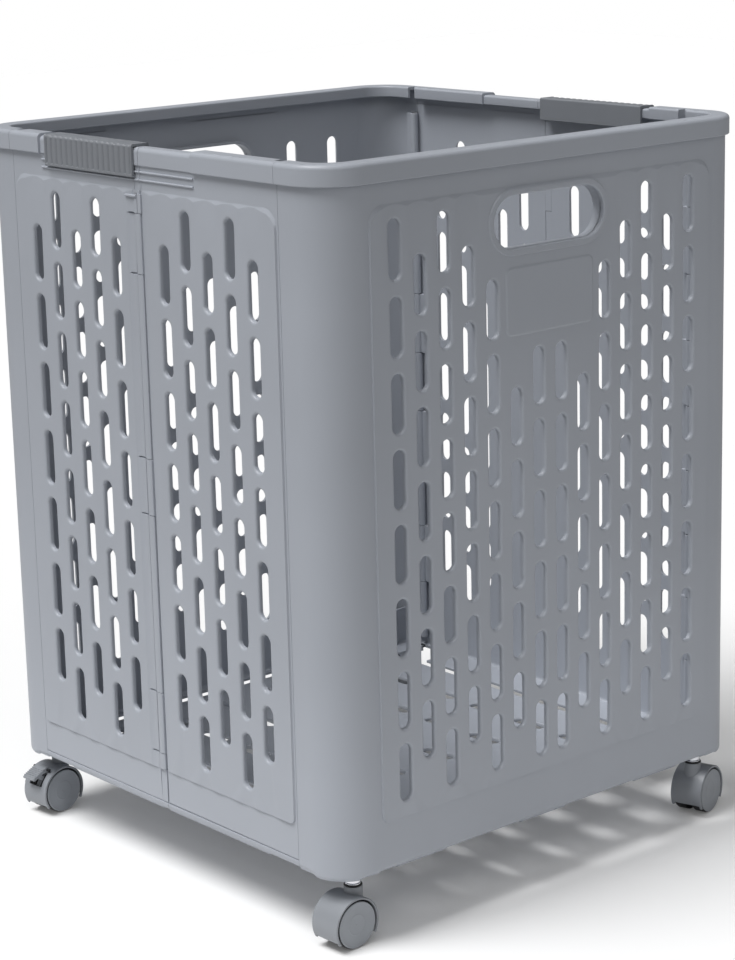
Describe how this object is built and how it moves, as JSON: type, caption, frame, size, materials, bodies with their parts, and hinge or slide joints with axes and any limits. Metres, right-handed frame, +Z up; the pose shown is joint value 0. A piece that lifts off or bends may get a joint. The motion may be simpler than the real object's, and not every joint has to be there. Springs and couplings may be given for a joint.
{
  "type": "folding linen trolley",
  "caption": "Folding ventilated linen trolley: two end shells, inward-folding sides, flip-up floor, rim sliders and twin-wheel swivel casters.",
  "frame": {"origin": "middle of the footprint, on the floor that the wheels stand on", "axes": "+Z up; -Y is the front end shell with a hand hole and the floor hinge; the sides at -X and +X fold inwards"},
  "size_m": [0.4169, 0.41, 0.5463],
  "materials": {
    "shell_plastic": "satin moulded polypropylene",
    "panel_plastic": "satin moulded polypropylene",
    "slider_plastic": "satin moulded polypropylene with ribs",
    "floor_plastic": "satin moulded polypropylene",
    "hinge_steel": "drawn steel wire",
    "axle_steel": "drawn steel",
    "stem_chrome": "bright plated steel",
    "caster_plastic": "moulded nylon",
    "hub_plastic": "moulded nylon",
    "tread_rubber": "black tread",
    "socket_nylon": "moulded nylon"
  },
  "bodies": {
    "front_shell": {"front_shell": "shell_plastic", "floor_hinge_pins": "hinge_steel", "left_front_hinge_pin": "hinge_steel", "right_front_hinge_pin": "hinge_steel", "front_left_caster_socket": "socket_nylon", "front_left_caster_stem": "stem_chrome", "front_right_caster_socket": "socket_nylon", "front_right_caster_stem": "stem_chrome"},
    "left_front_panel": {"left_front_panel": "panel_plastic"},
    "left_rear_panel": {"left_rear_panel": "panel_plastic", "left_centre_hinge_pin": "hinge_steel"},
    "rear_shell": {"rear_shell": "shell_plastic", "floor_rest_bar": "floor_plastic", "left_rear_hinge_pin": "hinge_steel", "right_rear_hinge_pin": "hinge_steel", "rear_left_caster_socket": "socket_nylon", "rear_left_caster_stem": "stem_chrome", "rear_right_caster_socket": "socket_nylon", "rear_right_caster_stem": "stem_chrome"},
    "right_front_panel": {"right_front_panel": "panel_plastic", "right_centre_hinge_pin": "hinge_steel"},
    "right_rear_panel": {"right_rear_panel": "panel_plastic"},
    "left_rim_slider": {"left_rim_slider": "slider_plastic"},
    "right_rim_slider": {"right_rim_slider": "slider_plastic"},
    "floor_panel": {"floor_panel": "floor_plastic"},
    "front_left_caster": {"front_left_caster_hood": "caster_plastic", "front_left_caster_axle": "axle_steel"},
    "front_left_near_wheel": {"front_left_caster_near_hub": "hub_plastic", "front_left_caster_near_tyre": "tread_rubber"},
    "front_left_far_wheel": {"front_left_caster_far_hub": "hub_plastic", "front_left_caster_far_tyre": "tread_rubber"},
    "front_right_caster": {"front_right_caster_hood": "caster_plastic", "front_right_caster_axle": "axle_steel"},
    "front_right_near_wheel": {"front_right_caster_near_hub": "hub_plastic", "front_right_caster_near_tyre": "tread_rubber"},
    "front_right_far_wheel": {"front_right_caster_far_hub": "hub_plastic", "front_right_caster_far_tyre": "tread_rubber"},
    "rear_left_caster": {"rear_left_caster_hood": "caster_plastic", "rear_left_caster_axle": "axle_steel", "rear_left_caster_brake_pin": "axle_steel"},
    "rear_left_near_wheel": {"rear_left_caster_near_hub": "hub_plastic", "rear_left_caster_near_tyre": "tread_rubber"},
    "rear_left_far_wheel": {"rear_left_caster_far_hub": "hub_plastic", "rear_left_caster_far_tyre": "tread_rubber"},
    "rear_left_brake": {"rear_left_caster_brake_pedal": "caster_plastic"},
    "rear_right_caster": {"rear_right_caster_hood": "caster_plastic", "rear_right_caster_axle": "axle_steel", "rear_right_caster_brake_pin": "axle_steel"},
    "rear_right_near_wheel": {"rear_right_caster_near_hub": "hub_plastic", "rear_right_caster_near_tyre": "tread_rubber"},
    "rear_right_far_wheel": {"rear_right_caster_far_hub": "hub_plastic", "rear_right_caster_far_tyre": "tread_rubber"},
    "rear_right_brake": {"rear_right_caster_brake_pedal": "caster_plastic"}
  },
  "joints": [
    {"name": "left_front_hinge", "type": "hinge", "parent": "front_shell", "child": "left_front_panel", "pos_m": [-0.1962, -0.156, 0.3], "axis": [0, 0, -1], "range_deg": [0, 87]},
    {"name": "left_centre_hinge", "type": "hinge", "parent": "left_front_panel", "child": "left_rear_panel", "pos_m": [-0.2044, 0, 0.3], "axis": [0, 0, 1], "range_deg": [0, 174]},
    {"name": "left_rear_hinge", "type": "hinge", "parent": "left_rear_panel", "child": "rear_shell", "pos_m": [-0.1962, 0.156, 0.3], "axis": [0, 0, -1], "range_deg": [0, 87]},
    {"name": "right_front_hinge", "type": "hinge", "parent": "front_shell", "child": "right_front_panel", "pos_m": [0.1962, -0.156, 0.3], "axis": [0, 0, 1], "range_deg": [0, 87]},
    {"name": "right_centre_hinge", "type": "hinge", "parent": "right_front_panel", "child": "right_rear_panel", "pos_m": [0.2044, 0, 0.3], "axis": [0, 0, -1], "range_deg": [0, 174]},
    {"name": "left_slider_travel", "type": "slide", "parent": "left_rear_panel", "child": "left_rim_slider", "axis": [0, 1, 0], "range_m": [-0.058, 0]},
    {"name": "right_slider_travel", "type": "slide", "parent": "right_front_panel", "child": "right_rim_slider", "axis": [0, -1, 0], "range_m": [-0.058, 0]},
    {"name": "floor_hinge", "type": "hinge", "parent": "front_shell", "child": "floor_panel", "pos_m": [0, -0.19, 0.0517], "axis": [1, 0, 0], "range_deg": [0, 88]},
    {"name": "front_left_swivel", "type": "hinge", "parent": "front_shell", "child": "front_left_caster", "pos_m": [-0.1745, -0.181, 0.042], "axis": [0, 0, 1], "continuous": true},
    {"name": "front_left_near_wheel_spin", "type": "hinge", "parent": "front_left_caster", "child": "front_left_near_wheel", "pos_m": [-0.18249, -0.18128, 0.0175], "axis": [0.0349, -0.9994, 0], "continuous": true},
    {"name": "front_left_far_wheel_spin", "type": "hinge", "parent": "front_left_caster", "child": "front_left_far_wheel", "pos_m": [-0.18249, -0.18128, 0.0175], "axis": [0.0349, -0.9994, 0], "continuous": true},
    {"name": "front_right_swivel", "type": "hinge", "parent": "front_shell", "child": "front_right_caster", "pos_m": [0.1745, -0.181, 0.042], "axis": [0, 0, 1], "continuous": true},
    {"name": "front_right_near_wheel_spin", "type": "hinge", "parent": "front_right_caster", "child": "front_right_near_wheel", "pos_m": [0.18219, -0.1788, 0.0175], "axis": [-0.2756, 0.9613, 0], "continuous": true},
    {"name": "front_right_far_wheel_spin", "type": "hinge", "parent": "front_right_caster", "child": "front_right_far_wheel", "pos_m": [0.18219, -0.1788, 0.0175], "axis": [-0.2756, 0.9613, 0], "continuous": true},
    {"name": "rear_left_swivel", "type": "hinge", "parent": "rear_shell", "child": "rear_left_caster", "pos_m": [-0.1745, 0.181, 0.042], "axis": [0, 0, 1], "continuous": true},
    {"name": "rear_left_near_wheel_spin", "type": "hinge", "parent": "rear_left_caster", "child": "rear_left_near_wheel", "pos_m": [-0.18246, 0.18016, 0.0175], "axis": [0.1045, -0.9945, 0], "continuous": true},
    {"name": "rear_left_far_wheel_spin", "type": "hinge", "parent": "rear_left_caster", "child": "rear_left_far_wheel", "pos_m": [-0.18246, 0.18016, 0.0175], "axis": [0.1045, -0.9945, 0], "continuous": true},
    {"name": "rear_left_brake_press", "type": "hinge", "parent": "rear_left_caster", "child": "rear_left_brake", "pos_m": [-0.19347, 0.17901, 0.03668], "axis": [0.1045, -0.9945, 0], "range_deg": [0, 11]},
    {"name": "rear_right_swivel", "type": "hinge", "parent": "rear_shell", "child": "rear_right_caster", "pos_m": [0.1745, 0.181, 0.042], "axis": [0, 0, 1], "continuous": true},
    {"name": "rear_right_near_wheel_spin", "type": "hinge", "parent": "rear_right_caster", "child": "rear_right_near_wheel", "pos_m": [0.1825, 0.181, 0.0175], "axis": [0, 1, 0], "continuous": true},
    {"name": "rear_right_far_wheel_spin", "type": "hinge", "parent": "rear_right_caster", "child": "rear_right_far_wheel", "pos_m": [0.1825, 0.181, 0.0175], "axis": [0, 1, 0], "continuous": true},
    {"name": "rear_right_brake_press", "type": "hinge", "parent": "rear_right_caster", "child": "rear_right_brake", "pos_m": [0.19357, 0.181, 0.03668], "axis": [0, 1, 0], "range_deg": [0, 11]}
  ],
  "couplings": [
    {"joint": "left_centre_hinge", "follows": "left_front_hinge", "ratio": 2},
    {"joint": "left_rear_hinge", "follows": "left_front_hinge", "ratio": 1},
    {"joint": "right_front_hinge", "follows": "left_front_hinge", "ratio": 1},
    {"joint": "right_centre_hinge", "follows": "left_front_hinge", "ratio": 2}
  ]
}
